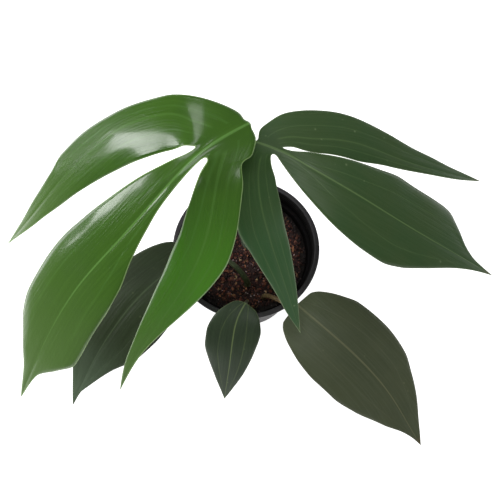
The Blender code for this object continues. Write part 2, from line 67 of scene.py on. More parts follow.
NEWEST_BLADE = {**LOBED,
    "midrib": [(2, 25, 176), (-27, 2, 182), (-51, -21, 175), (-81, -48, 156), (-110, -71, 133),
               (-140, -104, 100), (-166, -138, 60)],
    "left": [(0, 4), (.15, 3.5), (.22, 4.3), (.3, 6), (.37, 10), (.44, 15.8), (.52, 24), (.6, 27),
             (.74, 27.5), (.79, 27), (.84, 17.6), (.9, 5), (1, 0)],
    "right": [(0, 4), (.15, 5), (.2, 10), (.28, 18.7), (.39, 27.3), (.48, 32.2), (.55, 34.6), (.7, 32),
              (.76, 27.6), (.83, 17), (.9, 7.5), (1, 0)],
    "early": (.4, .05), "puff": .15, "heel": 2,
    "lobes": [
        {**LOBE, "side": "right", "root": .137, "blend": .2, "early": (.85, .1),
         "shift": [(0, 0), (.08, 0), (.2, 5), (.32, 5), (.5, 2.5), (.75, 0), (1, 0)],
         "vein": [(-8, 20, 179), (-29, 28, 180), (-56, 29, 174), (-82, 27, 160), (-108, 20, 140),
                  (-137, 8, 116), (-164, -7, 88), (-189, -18, 60)],
         "outer": [(0, 11), (.02, 14.5), (.09, 16), (.2, 19), (.36, 20.2), (.5, 21.6), (.6, 18.9),
                   (.66, 12.4), (.8, 7.2), (1, 0)],
         "inner": [(0, 22), (.03, 23.7), (.08, 24.9), (.14, 23), (.2, 22), (.28, 22.8), (.4, 21),
                   (.52, 17.5), (.65, 14.3), (.8, 8), (1, 0)]},
        {**LOBE, "side": "left", "root": .137, "blend": .25,
         "vein": [(-6, 18, 179), (-14, 1, 179), (-20, -25, 168), (-26, -47, 150), (-40, -69, 126),
                  (-60, -90, 100), (-80, -111, 76), (-95, -132, 50)],
         "outer": [(0, 8), (.01, 12), (.03, 15), (.085, 17), (.1, 12), (.17, 17), (.37, 19), (.44, 17),
                   (.51, 14), (.6, 10), (.7, 6), (.8, 3), (1, 0)],
         "inner": [(0, 7), (.01, 4), (.06, 4.8), (.1, 6), (.15, 9.4), (.2, 13.2), (.26, 16.3), (.36, 18.6),
                   (.45, 20), (.57, 18), (.68, 14), (.8, 8), (.88, 5.3), (1, 0)]}]}

DARK_LOBED_BLADE = {**LOBED,
    "midrib": [(8, 21, 158), (24, 13, 161), (43, 2, 160), (75, -14, 151), (107, -27, 134),
               (143, -39, 112), (186, -50, 80)],
    "left": [(0, 3), (.09, 2.5), (.17, 10), (.26, 18), (.41, 26.8), (.51, 31), (.7, 31), (.74, 29.8),
             (.79, 20.6), (.84, 9.4), (.9, 3.4), (1, 0)],
    "right": [(0, 4), (.07, 3), (.09, 5.6), (.15, 12), (.23, 18.9), (.36, 27.9), (.47, 31.3), (.53, 32),
              (.6, 28.8), (.67, 22.7), (.81, 10), (.9, 4.4), (1, 0)],
    "heel": 1,
    "lobes": [
        {**LOBE, "side": "left", "root": .08,
         "shift": [(0, 0), (.08, -2), (.2, -6), (.5, -5.5), (.8, -2.5), (1, 0)],
         "vein": [(12, 19, 159), (25, 24, 160), (52, 32, 154), (81, 33, 143), (113, 29, 126),
                  (148, 27, 104), (187, 29, 76)],
         "outer": [(0, 5), (.01, 10.5), (.05, 14.2), (.12, 17.8), (.25, 17), (.4, 13.5), (.55, 9.4),
                   (.7, 6.5), (.85, 3), (1, 0)],
         "inner": [(0, 7), (.05, 9.6), (.11, 12.8), (.2, 16.6), (.36, 18), (.5, 14.1), (.7, 8.4),
                   (.85, 5), (1, 0)]},
        {**LOBE, "side": "right", "root": .07,
         "vein": [(13, 18, 159), (10, 3, 152), (12, -16, 136), (18, -34, 114), (27, -53, 90),
                  (35, -70, 68), (43, -87, 46)],
         "outer": [(0, 6), (.03, 11), (.1, 14), (.2, 17), (.35, 20), (.47, 16), (.6, 12), (.74, 8),
                   (.83, 6), (1, 0)],
         "inner": [(0, 9), (.01, 7), (.05, 8), (.14, 11), (.3, 13), (.46, 13), (.6, 11), (.8, 6),
                   (1, 0)]}]}

RIGHT_ENTIRE_BLADE = {**ENTIRE,
    "midrib": [(42, -59, 26), (56, -72, 28), (76, -89, 25), (98, -108, 16), (121, -132, 0),
               (135, -151, -14), (148, -168, -28)],
    "left": [(0, 0), (.01, 15.6), (.06, 24), (.15, 31.5), (.24, 36.4), (.4, 37.7), (.56, 33.7),
             (.65, 26.9), (.74, 20), (.84, 12.5), (.92, 6.4), (1, 0)],
    "right": [(0, 0), (.01, 18.5), (.06, 26), (.11, 30), (.2, 35), (.31, 37.5), (.44, 37.3), (.59, 32.3),
              (.77, 18.6), (.87, 7.4), (.94, 2.5), (1, 0)]}

SMALL_ENTIRE_BLADE = {**ENTIRE,
    "midrib": [(0, -56, 20), (-6, -67, 19), (-11, -86, 10), (-14, -104, -8), (-17, -118, -26),
               (-19, -128, -40)],
    "left": [(0, 0), (.02, 11), (.11, 19), (.25, 22), (.44, 19), (.62, 14), (.82, 7), (1, 0)],
    "right": [(0, 0), (.02, 7), (.1, 14), (.19, 20), (.3, 23), (.4, 23), (.56, 19), (.77, 10), (.9, 4),
              (1, 0)],
    "droop": .004}

LEFT_ENTIRE_BLADE = {**ENTIRE,
    "midrib": [(-46, -16, 24), (-66, -32, 27), (-88, -52, 25), (-110, -78, 16), (-129, -104, 0),
               (-148, -135, -24)],
    "left": [(0, 0), (.02, 17), (.1, 28), (.22, 33), (.4, 35.4), (.56, 31.5), (.72, 17), (.85, 6.6),
             (.92, 1.5), (1, 0)],
    "right": [(0, 0), (.02, 18.4), (.1, 26), (.22, 30.4), (.4, 34), (.56, 31), (.72, 22), (.85, 11),
              (.93, 5.2), (1, 0)]}


BLADE_THICKNESS = .7
KEEL_DEPTH = 1.0
KEEL_WIDTH = 1.3
GROOVE_DEPTH = .35
GROOVE_WIDTH = 1.3
WAVE_HEIGHT = .22
WAVE_LENGTH = 38
FALL_CURVE = 1.3
NO_NERVE = -9

# ---------------------------------------------------------------- stalks

STEM_PATH = [(25, -30, -34), (24, -29, 0), (16, -20, 24), (7, -11, 50)]
NODE_HEIGHTS = (-4, 8, 20, 32, 43)
STALKS = {
    "newest_petiole": {"path": [(7, -11, 49), (6.2, -8.6, 56), (4, 1, 92), (2, 14, 135), (-.4, 21.4, 168),
                                (-.6, 23, 175.4)], "radii": (3.1, 1.9)},
    "dark_lobed_petiole": {"path": [(14, -16.5, 34), (17.5, -14, 42), (16, -8, 76), (14, 5, 116),
                                    (10.5, 17.5, 151), (10, 19.5, 157.6)], "radii": (2.8, 1.8)},
    "right_entire_petiole": {"path": [(16, -41, -29), (16, -41, -16), (24, -47, 2), (39, -58, 20),
                                      (43, -59.6, 25.6)], "radii": (2.2, 1.6)},
    "small_entire_petiole": {"path": [(1, -48.5, -29), (1, -48.5, -17), (1, -50.5, 4), (.2, -54.5, 15),
                                      (-.4, -56.8, 19.6)], "radii": (1.7, 1.2)},
    "left_entire_petiole": {"path": [(1, -28, -29), (1, -28, -16), (-12, -17, 4), (-27, -12, 9),
                                     (-45, -16, 18), (-46.6, -16.6, 23.6)], "radii": (2.9, 1.7)}}
TIP_SHEATH = {"path": [(8, -15, 43), (3, -17, 49), (-2, -17, 66), (-5, -18, 86)], "radii": (2.6, .5)}


def ease(value):
    """Soft step from 0 to 1."""
    value = np.clip(value, 0, 1)
    return value * value * (3 - 2 * value)


def table(pairs, value):
    """Smooth monotone curve through (fraction, width) pairs."""
    at, width = (np.array(column, float) for column in zip(*pairs))
    step = np.diff(at)
    slope = np.diff(width) / step
    turn = np.zeros(len(at))
    turn[0] = slope[0]
    turn[-1] = slope[-1]
    for i in range(1, len(at) - 1):
        if slope[i - 1] * slope[i] > 0:
            turn[i] = 2 * slope[i - 1] * slope[i] / (slope[i - 1] + slope[i])
    i = int(np.clip(np.searchsorted(at, value, side="right") - 1, 0, len(at) - 2))
    t = (value - at[i]) / step[i]
    return (width[i] * (1 + 2 * t) * (1 - t) ** 2 + step[i] * turn[i] * t * (1 - t) ** 2
            + width[i + 1] * t * t * (3 - 2 * t) + step[i] * turn[i + 1] * t * t * (t - 1))


class Curve:
    """Natural cubic through a few points, read by fraction of its length, in millimetres."""

    def __init__(self, points, samples=400):
        knots = np.array(points, float)
        reach = np.r_[0, np.cumsum(np.linalg.norm(np.diff(knots, axis=0), axis=1))]
        count = len(knots)
        gap = np.diff(reach)
        matrix = np.eye(count)
        rhs = np.zeros((count, 3))
        for i in range(1, count - 1):
            matrix[i, i - 1:i + 2] = gap[i - 1], 2 * (gap[i - 1] + gap[i]), gap[i]
            rhs[i] = 6 * ((knots[i + 1] - knots[i]) / gap[i] - (knots[i] - knots[i - 1]) / gap[i - 1])
        bend = np.linalg.solve(matrix, rhs)
        along = np.linspace(0, reach[-1], samples)
        i = np.clip(np.searchsorted(reach, along, side="right") - 1, 0, count - 2)
        a = ((reach[i + 1] - along) / gap[i])[:, None]
        b = 1 - a
        self.line = (a * knots[i] + b * knots[i + 1]
                     + ((a ** 3 - a) * bend[i] + (b ** 3 - b) * bend[i + 1]) * (gap[i] ** 2)[:, None] / 6)
        run = np.r_[0, np.cumsum(np.linalg.norm(np.diff(self.line, axis=0), axis=1))]
        self.length = run[-1]
        self.fraction = run / run[-1]

    def at(self, value):
        return np.array([np.interp(value, self.fraction, self.line[:, axis]) for axis in range(3)])

    def along(self, value):
        step = self.at(min(value + .004, 1)) - self.at(max(value - .004, 0))
        return step / np.linalg.norm(step)

    def side(self, value):
        across = np.cross((0, 0, 1), self.along(value))
        return across / np.linalg.norm(across)

    def up(self, value):
        return np.cross(self.along(value), self.side(value))


# ---------------------------------------------------------------- leaf blades

ROOT_STEPS = 20
STRIP_ROWS = 96
STRIP_CELLS = 10
LOBE_ROWS = 100
ENTIRE_ROWS = 90
ENTIRE_CELLS = 12
SETTLE_ROUNDS = 220
MARGIN_ROUNDS = 3
MARGIN_SOFT = .62


class Sheet:
    """Points and faces of a blade, with the marks of its skin and how softly it settles at each point."""

    marks = ("across_mm", "along_mm", "nerve_mm", "vein_gain", "reach", "lobe")

    def __init__(self):
        self.points = []
        self.faces = []
        self.rows = []
        self.soft = []

    def add(self, point, *row, soft=0):
        self.points.append(point)
        self.rows.append(list(row))
        self.soft.append(soft)
        return len(self.points) - 1

    def add_faces(self, grid):
        for i in range(grid.shape[0] - 1):
            for j in range(grid.shape[1] - 1):
                loop = (grid[i, j], grid[i + 1, j], grid[i + 1, j + 1], grid[i, j + 1])
                loop = [int(loop[k]) for k in range(4) if loop[k] != loop[k - 1]]
                if len(loop) > 2:
                    self.faces.append(loop)


def fall(width, half, drop, nerve_at, early):
    """Height across a half: part of its drop starts at the vein, the rest beyond the side nerve."""
    u = abs(width) / max(half, .5)
    late = max(0, (u - nerve_at) / (1 - nerve_at)) ** FALL_CURVE
    return -drop * (early * u + (1 - early) * late)


def relief(width, half, nerve_at, puff, value, length, seed):
    """Height of the skin off its ruled sheet: groove on the vein, pillows beside it, a wavy margin."""
    u = abs(width) / max(half, .5)
    lively = ease((1 - value) / .12) * ease(half / 12)
    pillow = math.sin(math.pi * u / nerve_at) if u < nerve_at else math.sin(
        math.pi * (u - nerve_at) / (1 - nerve_at))
    groove = GROOVE_DEPTH * math.exp(-(width / GROOVE_WIDTH) ** 2)
    wave = WAVE_HEIGHT * u ** 2 * math.sin(2 * math.pi * value * length / WAVE_LENGTH + seed
                                           + (1.7 if width > 0 else 0))
    return (puff * min(half / 25, 1) * max(pillow, 0) + wave) * lively - groove


def blade_sheet(blade, seed):
    """Middle strip along the midrib, with each side lobe growing from the strip's edge."""
    sheet = Sheet()
    midrib = Curve(blade["midrib"])
    roots = sorted({lobe["root"] for lobe in blade["lobes"]})
    if roots:
        stations = list(np.linspace(0, roots[0], ROOT_STEPS + 1))
        for low, high in zip(roots, roots[1:]):
            stations += list(np.linspace(low, high, 3)[1:])
        stations += list(roots[-1] + (1 - roots[-1]) * np.linspace(0, 1, STRIP_ROWS + 1)[1:])
        cells = STRIP_CELLS
    else:
        stations = list(np.linspace(0, 1, ENTIRE_ROWS + 1) ** 1.6)
        cells = ENTIRE_CELLS
    strip = np.zeros((len(stations), 2 * cells + 1), int)
    across = np.linspace(-1, 1, 2 * cells + 1)
    for i, value in enumerate(stations):
        along = value * midrib.length
        if i == len(stations) - 1 or (i == 0 and not roots):
            strip[i, :] = sheet.add(midrib.at(value), 0, along, NO_NERVE, 1, value, 0)
            continue
        heel = blade["heel"] * (1 - ease(value / .05))
        nerve_at = table(blade["nerve"], value)
        quiet = ease((value - (roots[-1] if roots else 0)) / .12) if roots else ease(value / .1)
        for j, u in enumerate(across):
            half = table(blade["left" if u > 0 else "right"], value)
            width = u * half
            lift = fall(width, half, blade["droop"] * half * half, nerve_at, blade["early"][int(u < 0)])
            lift += quiet * relief(width, half, nerve_at, blade["puff"], value, midrib.length, seed)
            point = (midrib.at(value) + midrib.side(value) * width + midrib.up(value) * lift
                     - midrib.along(value) * heel * (1 - u * u))
            in_root = bool(roots) and value <= roots[-1]
            gain = max(0, 1 - abs(u)) if in_root else 1
            nerve = (abs(u) - nerve_at) * half if not in_root else NO_NERVE
            soft = (1 - ease((value - roots[-1]) / .12)) * (j != cells) if roots else 0
            strip[i, j] = sheet.add(point, width, along, nerve, gain, value, 0, soft=soft)
    sheet.add_faces(strip)
    for number, lobe in enumerate(blade["lobes"], 1):
        turn = 1 if lobe["side"] == "right" else -1
        column = 0 if lobe["side"] == "right" else -1
        shared = [int(strip[i, column]) for i, value in enumerate(stations) if value <= lobe["root"] + 1e-9]
        for k in shared:
            sheet.rows[k][Sheet.marks.index("vein_gain")] = 0
        edge = np.array([sheet.points[k] for k in shared])
        across_lobe = np.linspace(-1, 1, len(shared))
        vein = Curve(lobe["vein"])

        def row_at(value, rough):
            outer = table(lobe["outer"], value)
            inner = table(lobe["inner"], value)
            width = across_lobe * np.where(across_lobe < 0, outer, inner)
            drop = lobe["droop"] * np.where(across_lobe < 0, outer, inner) ** 2
            nerve_at = table(lobe["nerve"], value)
            shift = table(lobe["shift"], value)
            off = width + shift
            half = np.where(off < 0, outer - shift, inner + shift)
            lift = np.array([
                fall(w, h, d, nerve_at, lobe["early"][int(w > 0)])
                + rough * relief(w, h, nerve_at, blade["puff"], value, vein.length, seed + number)
                for w, h, d in zip(off, half, drop)])
            place = (vein.at(value) + np.outer(turn * width, vein.side(value))
                     + np.outer(lift, vein.up(value)))
            return place, turn * off, np.abs(off) - nerve_at * half

        start = row_at(0, 0)[0]
        grid = [shared]
        for row in range(1, LOBE_ROWS):
            value = (row / LOBE_ROWS) ** 1.2
            pull = 1 - ease(value / lobe["blend"])
            place, width, nerve = row_at(value, ease(value / .1))
            place = place + pull * (edge - start)
            gain = ease(value / .05)
            soft = 1 - ease(value / .42)
            grid.append([sheet.add(place[k], width[k], value * vein.length, nerve[k], gain, value, number,
                                   soft=soft) for k in range(len(shared))])
        grid.append([sheet.add(vein.at(1), 0, vein.length, NO_NERVE, 1, 1, number)] * len(shared))
        grid = np.array(grid)
        sheet.add_faces(grid if turn > 0 else grid[:, ::-1])
    return sheet


def sides(face):
    return [(face[k], face[(k + 1) % len(face)]) for k in range(len(face))]


def margin_edges(faces):
    """Edges that only one face uses, each as an ordered pair."""
    edges = {}
    for face in faces:
        for pair in sides(face):
            key = tuple(sorted(pair))
            edges[key] = None if key in edges else pair
    return [pair for pair in edges.values() if pair]


def margin_distance(points, pairs):
    """Distance in millimetres from each point to the nearest margin edge."""
    a = points[[pair[0] for pair in pairs]]
    run = points[[pair[1] for pair in pairs]] - a
    size = np.maximum((run ** 2).sum(1), 1e-9)
    out = np.empty(len(points))
    for low in range(0, len(points), 2000):
        gap = points[low:low + 2000, None, :] - a[None]
        t = np.clip((gap * run).sum(2) / size, 0, 1)
        out[low:low + 2000] = np.sqrt(((gap - t[..., None] * run) ** 2).sum(2).min(1))
    return out


def settle(sheet, pairs):
    """Relaxes the skin where lobes leave the midrib, so that it runs from one into the next."""
    points = np.array(sheet.points)
    weight = np.array(sheet.soft, float)
    before = {b: a for a, b in pairs}
    after = dict(pairs)
    margin = np.array(sorted(after))
    low = np.array([before[k] for k in margin])
    high = np.array([after[k] for k in margin])
    for _ in range(MARGIN_ROUNDS):
        middle = (points[low] + points[high]) / 2
        points[margin] += .5 * (weight[margin] > MARGIN_SOFT)[:, None] * (middle - points[margin])
    weight[margin] = 0
    edges = np.array(sorted({tuple(sorted(pair)) for face in sheet.faces for pair in sides(face)}))
    count = np.bincount(edges.ravel(), minlength=len(points))[:, None]
    for _ in range(SETTLE_ROUNDS):
        total = np.zeros_like(points)
        np.add.at(total, edges[:, 0], points[edges[:, 1]])
        np.add.at(total, edges[:, 1], points[edges[:, 0]])
        points += .5 * weight[:, None] * (total / count - points)
    return points


def make_blade(name, blade, paint, seed):
    """A closed blade: upper skin, lower skin with a keel under each vein, and a thin rim."""
    sheet = blade_sheet(blade, seed)
    pairs = margin_edges(sheet.faces)
    points = settle(sheet, pairs)
    normals = np.zeros_like(points)
    for face in sheet.faces:
        a, b, c = (points[face[k]] for k in (0, 1, 2))
        normal = np.cross(b - a, c - a)
        if len(face) == 4:
            normal = normal + np.cross(c - a, points[face[3]] - a)
        normals[face] += normal
    normals /= np.linalg.norm(normals, axis=1)[:, None]
    edge = margin_distance(points, pairs)
    marks = dict(zip(Sheet.marks, np.array(sheet.rows, float).T), edge_mm=edge)
    across, gain, reach = marks["across_mm"], marks["vein_gain"], marks["reach"]
    thin = BLADE_THICKNESS * (.55 + .45 * ease(edge / 1.5))
    keel = KEEL_DEPTH * np.exp(-(across / KEEL_WIDTH) ** 2) * (1 - .75 * reach) * gain * ease(edge / 2)
    upper = points + normals * thin[:, None] / 2
    lower = points - normals * (thin / 2 + keel)[:, None]
    count = len(points)
    faces = [tuple(face) for face in sheet.faces]
    faces += [tuple(k + count for k in face[::-1]) for face in sheet.faces]
    faces += [(b, a, a + count, b + count) for a, b in pairs]
    mesh = bpy.data.meshes.new(name)
    solid = np.vstack((upper, lower)) * MM + np.array((0, 0, RIM_TOP))
    mesh.from_pydata([tuple(point) for point in solid], [], faces)
    for mark, values in marks.items():
        layer = mesh.attributes.new(mark, "FLOAT", "POINT")
        layer.data.foreach_set("value", np.tile(values, 2))
    layer = mesh.attributes.new("upper_skin", "FLOAT", "POINT")
    layer.data.foreach_set("value", np.repeat((1.0, 0.0), count))
    mesh.polygons.foreach_set("use_smooth", [True] * len(mesh.polygons))
    return link_mesh(name, mesh, paint)


def link_object(name, data):
    piece = bpy.data.objects.new(name, data)
    bpy.context.scene.collection.objects.link(piece)
    return piece


def link_mesh(name, mesh, paint):
    mesh.materials.clear()
    mesh.materials.append(paint)
    return link_object(name, mesh)


# ---------------------------------------------------------------- node helpers

FLOAT, COLOR, GEOMETRY, INTEGER = (
    "NodeSocketFloat", "NodeSocketColor", "NodeSocketGeometry", "NodeSocketInt")


def tone(code):
    """Scene-linear colour of a six-letter shade code."""
    out = []
    for k in (0, 2, 4):
        value = int(code[k:k + 2], 16) / 255
        out.append(value / 12.92 if value <= .04045 else ((value + .055) / 1.055) ** 2.4)
    return (*out, 1)


class Value:
    """Output of a node that takes ordinary arithmetic."""

    def __init__(self, graph, socket):
        self.graph = graph
        self.socket = socket

    def __add__(self, other):
        return self.graph.math("ADD", self, other)

    def __mul__(self, other):
        return self.graph.math("MULTIPLY", self, other)

    def __sub__(self, other):
        return self.graph.math("SUBTRACT", self, other)

    def __rsub__(self, other):
        return self.graph.math("SUBTRACT", other, self)

    def __gt__(self, other):
        return self.graph.math("GREATER_THAN", self, other)

    def __lt__(self, other):
        return self.graph.math("LESS_THAN", self, other)

    def __abs__(self):
        return self.graph.math("ABSOLUTE", self)

    __radd__ = __add__
    __rmul__ = __mul__


class Graph:
    """Short way to lay nodes in a tree."""

    def __init__(self, tree):
        self.tree = tree

    def plug(self, socket, value):
        if isinstance(value, Value):
            value = value.socket
        if isinstance(value, bpy.types.NodeSocket):
            self.tree.links.new(value, socket)
        elif value is not None:
            socket.default_value = value

    def node(self, kind, settings=None, **inputs):
        node = self.tree.nodes.new(kind)
        for name, value in (settings or {}).items():
            setattr(node, name, value)
        for name, value in inputs.items():
            self.plug(node.inputs[name.replace("_", " ")], value)
        return node

    def read(self, output, kind, settings=None, **inputs):
        return Value(self, self.node(kind, settings, **inputs).outputs[output])

    def math(self, kind, a, b=None):
        node = self.node("ShaderNodeMath", {"operation": kind})
        self.plug(node.inputs[0], a)
        self.plug(node.inputs[1], b)
        return Value(self, node.outputs[0])

    def band(self, value, low, high, start=0., stop=1.):
        node = self.node("ShaderNodeMapRange", {"interpolation_type": "SMOOTHSTEP"}, Value=value)
        for name, number in (("From Min", low), ("From Max", high), ("To Min", start), ("To Max", stop)):
            self.plug(node.inputs[name], number)
        return Value(self, node.outputs[0])

    def mix(self, share, a, b):
        node = self.node("ShaderNodeMix", {"data_type": "RGBA"})
        for socket, value in ((0, share), (6, a), (7, b)):
            self.plug(node.inputs[socket], value)
        return Value(self, node.outputs[2])

    def mark(self, name):
        return self.read("Fac", "ShaderNodeAttribute", {"attribute_name": name})

    def place(self):
        return self.read("Object", "ShaderNodeTexCoord")

    def noise(self, vector, scale, detail, rough=.5):
        return self.read("Fac", "ShaderNodeTexNoise", None, Vector=vector, Scale=scale, Detail=detail,
                         Roughness=rough)

    def cells(self, vector, scale):
        return self.read("Distance", "ShaderNodeTexVoronoi", None, Vector=vector, Scale=scale)

    def combine(self, x, y, z):
        return self.read(0, "ShaderNodeCombineXYZ", None, X=x, Y=y, Z=z)

    def polar(self, vector):
        """Distance from the pot's axis, and height."""
        split = self.node("ShaderNodeSeparateXYZ", None, Vector=vector)
        x, y = (self.math("POWER", split.outputs[k], 2.) for k in (0, 1))
        return self.math("SQRT", x + y), Value(self, split.outputs[2])


def new_group(name, kind, inputs, outputs):
    tree = bpy.data.node_groups.new(name, kind)
    for label, socket, default in inputs:
        item = tree.interface.new_socket(label, in_out="INPUT", socket_type=socket)
        if default is not None:
            item.default_value = default
    for label, socket in outputs:
        tree.interface.new_socket(label, in_out="OUTPUT", socket_type=socket)
    graph = Graph(tree)
    get = {socket.name: Value(graph, socket) for socket in tree.nodes.new("NodeGroupInput").outputs}
    return graph, get, tree.nodes.new("NodeGroupOutput").inputs


# ---------------------------------------------------------------- materials

def make_leaf_markings():
    """Colour, roughness and relief of a blade, from the marks stored at its points."""
    inputs = [(label, COLOR, (0, 0, 0, 1)) for label in
              ("Green", "Deep", "Light", "Rib", "Nerve", "Edge", "Tip", "Under", "Lower Lobe")]
    inputs += [(label, FLOAT, 0.) for label in
               ("Rib Width", "Nerve Width", "Nerve Strength", "Edge Width", "Tip Start", "Streaks",
                "Mottle", "Specks", "Roughness", "Lobe Rib", "Lower Share", "Relief")]
    graph, get, put = new_group("leaf_markings", "ShaderNodeTree", inputs,
                                [("Color", COLOR), ("Roughness", FLOAT), ("Height", FLOAT)])
    across, along, nerve, gain = map(graph.mark, ("across_mm", "along_mm", "nerve_mm", "vein_gain"))
    reach, lobe, edge, upper = map(graph.mark, ("reach", "lobe", "edge_mm", "upper_skin"))
    band, mix, noise = graph.band, graph.mix, graph.noise
    place = graph.place()
    # textures drawn out along the veins
    grain = graph.combine(across, along * .035, lobe * 9.)
    streak = noise(grain, .55, 4., .6)
    fine = noise(grain, 1.9, 2.)
    cloud = noise(place, 34., 3., .55)
    veinlets = graph.read("Fac", "ShaderNodeTexWave", {"wave_type": "BANDS", "bands_direction": "X"},
                          Vector=grain, Scale=.13, Distortion=5., Detail=3., Detail_Scale=.35)
    # ground colour
    color = mix(band(cloud, .35, .7) * get["Mottle"], get["Green"], get["Deep"])
    lower = (lobe > 1.5) * band(reach, .12, .5)
    color = mix(lower * get["Lower Share"], color, get["Lower Lobe"])
    color = mix(band(streak, .42, .68) * get["Streaks"] * band(gain, .1, 1.), color, get["Light"])
    color = mix(band(veinlets, .82, 1.) * (get["Streaks"] * .25), color, get["Light"])
    # side nerves, then the vein over them
    nerves = band(abs(nerve), 0., get["Nerve Width"], 1., 0.) * band(reach, .6, .97, 1., .15)
    nerves = nerves * band(noise(place, 60., 2.), .3, .55, .45, 1.) * get["Nerve Strength"]
    color = mix(nerves, color, get["Nerve"])
    size = get["Rib Width"] * band(reach, .2, 1., 1., .35)
    ribbed = band(abs(across), size * .35, size, 1., 0.) * band(gain, .15, .9)
    color = mix(ribbed * (1 - (lobe > .5) * (1 - get["Lobe Rib"])), color, get["Rib"])
    # tip tint, specks, margin and underside; the tip tint is a dry tip on some blades and painted sheen
    # towards the lobe ends on others
    color = mix(band(reach + (cloud - .5) * .15, get["Tip Start"], 1.02), color, get["Tip"])
    specks = band(graph.cells(place, 170.), .1, .24, 1., 0.) * band(noise(place, 95., 1.), .64, .7)
    specks = specks * get["Specks"]
    color = mix(specks, color, get["Edge"])
    rim = band(edge, get["Edge Width"] * .35, get["Edge Width"], 1., 0.)
    rim = rim * band(noise(place, 45., 2.), .3, .6, .55, 1.)
    color = mix(rim, color, get["Edge"])
    graph.plug(put["Color"], mix(upper, mix(.6, get["Under"], color), color))
    rough = get["Roughness"] + (fine - .5) * .1 + (cloud - .5) * .1 + (specks + rim) * .15
    graph.plug(put["Roughness"], rough + (1 - upper) * .12)
    height = streak * .7 + fine * .22 - nerves * .35 + veinlets * .05
    graph.plug(put["Height"], height * band(gain, .1, 1.) * get["Relief"])
    return graph.tree


def start_material(name, **settings):
    paint = bpy.data.materials.new(name)
    paint.use_nodes = True
    shader = paint.node_tree.nodes["Principled BSDF"]
    for label, value in settings.items():
        shader.inputs[label.replace("_", " ")].default_value = value
    return paint, Graph(paint.node_tree), shader


def dress(graph, shader, color, rough, height, strength, depth):
    """Connects colour, roughness and relief to a shader."""
    bump = graph.read("Normal", "ShaderNodeBump", None, Strength=strength, Distance=depth, Height=height)
    for label, value in (("Base Color", color), ("Roughness", rough), ("Normal", bump)):
        graph.plug(shader.inputs[label], value)


LEAF_MARKINGS = make_leaf_markings()


def leaf_material(name, gloss, coat, coat_roughness, look):
    paint, graph, shader = start_material(name, Specular_IOR_Level=gloss, Coat_Weight=coat,
                                          Coat_Roughness=coat_roughness)
    marks = graph.node("ShaderNodeGroup", {"node_tree": LEAF_MARKINGS})
    for label, value in look.items():
        value = tone(value) if isinstance(value, str) else value
        marks.inputs[label.replace("_", " ")].default_value = value
    dress(graph, shader, *(marks.outputs[label] for label in ("Color", "Roughness", "Height")), 1., .00035)
    return paint


def stalk_material(name, green, dark, pale, roughness=.42):
    """Smooth rind with long streaks, small raised pale specks and darker rings."""
    paint, graph, shader = start_material(name, Coat_Weight=.08, Coat_Roughness=.3)
    place = graph.place()
    turn = graph.mark("around") * (2 * math.pi)
    wrap = graph.combine(graph.math("SINE", turn), graph.math("COSINE", turn), graph.mark("along_mm") * .03)
    streak = graph.noise(wrap, 4.5, 3., .6)
    cloud = graph.noise(place, 90., 2.)
    dots = graph.band(graph.cells(place, 520.), .16, .34, 1., 0.) * .55
    color = graph.mix(graph.band(streak, .38, .65), tone(green), tone(dark))
    color = graph.mix(graph.band(cloud, .5, .75) * .5, color, tone(pale))
    color = graph.mix(dots, color, tone(pale))
    color = graph.mix(graph.mark("ring") * .6, color, tone(dark))
    rough = roughness + (streak - .5) * .2 + dots * .2
    dress(graph, shader, color, rough, streak * .5 + dots, .8, .00015)
    return paint


def pot_material():
    """Soft black plastic: moulding lines round it, fine grain, dust inside, painted shade darkening the
    inside, and rubbed edges.
    """
    paint, graph, shader = start_material("pot_plastic")
    place = graph.place()
    radius, height = graph.polar(place)
    inside = graph.mark("inside")
    cloud = graph.noise(place, 55., 4., .6)
    dust = graph.band(graph.noise(place, 170., 3., .7), .52, .8) * inside
    color = graph.mix(graph.band(cloud, .35, .75), tone("1d191c"), tone("2b282a"))
    # painted shade: the inside of the pot is darkened towards black
    color = graph.mix(inside * .9, color, tone("040404"))
    color = graph.mix(dust * .3, color, tone("3a302e"))
    color = graph.mix(graph.mark("edge_wear") * .45, color, tone("4c4a4f"))
    lip = graph.band(height, RIM_TOP - COLLAR_HEIGHT, RIM_TOP - LIP_DROP, WALL_SHINE, LIP_SHINE)
    graph.plug(shader.inputs["Specular IOR Level"], lip)
    rough = .34 + cloud * .16 + inside * .25 + dust * .25
    scratches = graph.noise(graph.combine(radius * 6000., height * 900., 0.), 1., 2.)
    relief = graph.noise(place, 1400., 2., .6) * .3 + scratches * .5
    dress(graph, shader, color, rough, relief, .5, .0001)
    return paint


# Shade of each kind of grain, from its darkest to its palest.
MIX_SHADES = (
    [(0, "221618"), (.5, "4a2c2b"), (.8, "724439"), (1, "9c6650")],
    [(0, "5c2f28"), (.45, "8f4e40"), (.8, "ba7e5c"), (1, "dcb88e")],
    [(0, "8a666c"), (.5, "b8989e"), (1, "e2c8cc")])
# Painted shade: dark band of mix along the wall, where the wall shades it; radii in metres.
WALL_SHADE_FROM = .043
WALL_SHADE_FULL = .053
WALL_SHADE_SHARE = .85


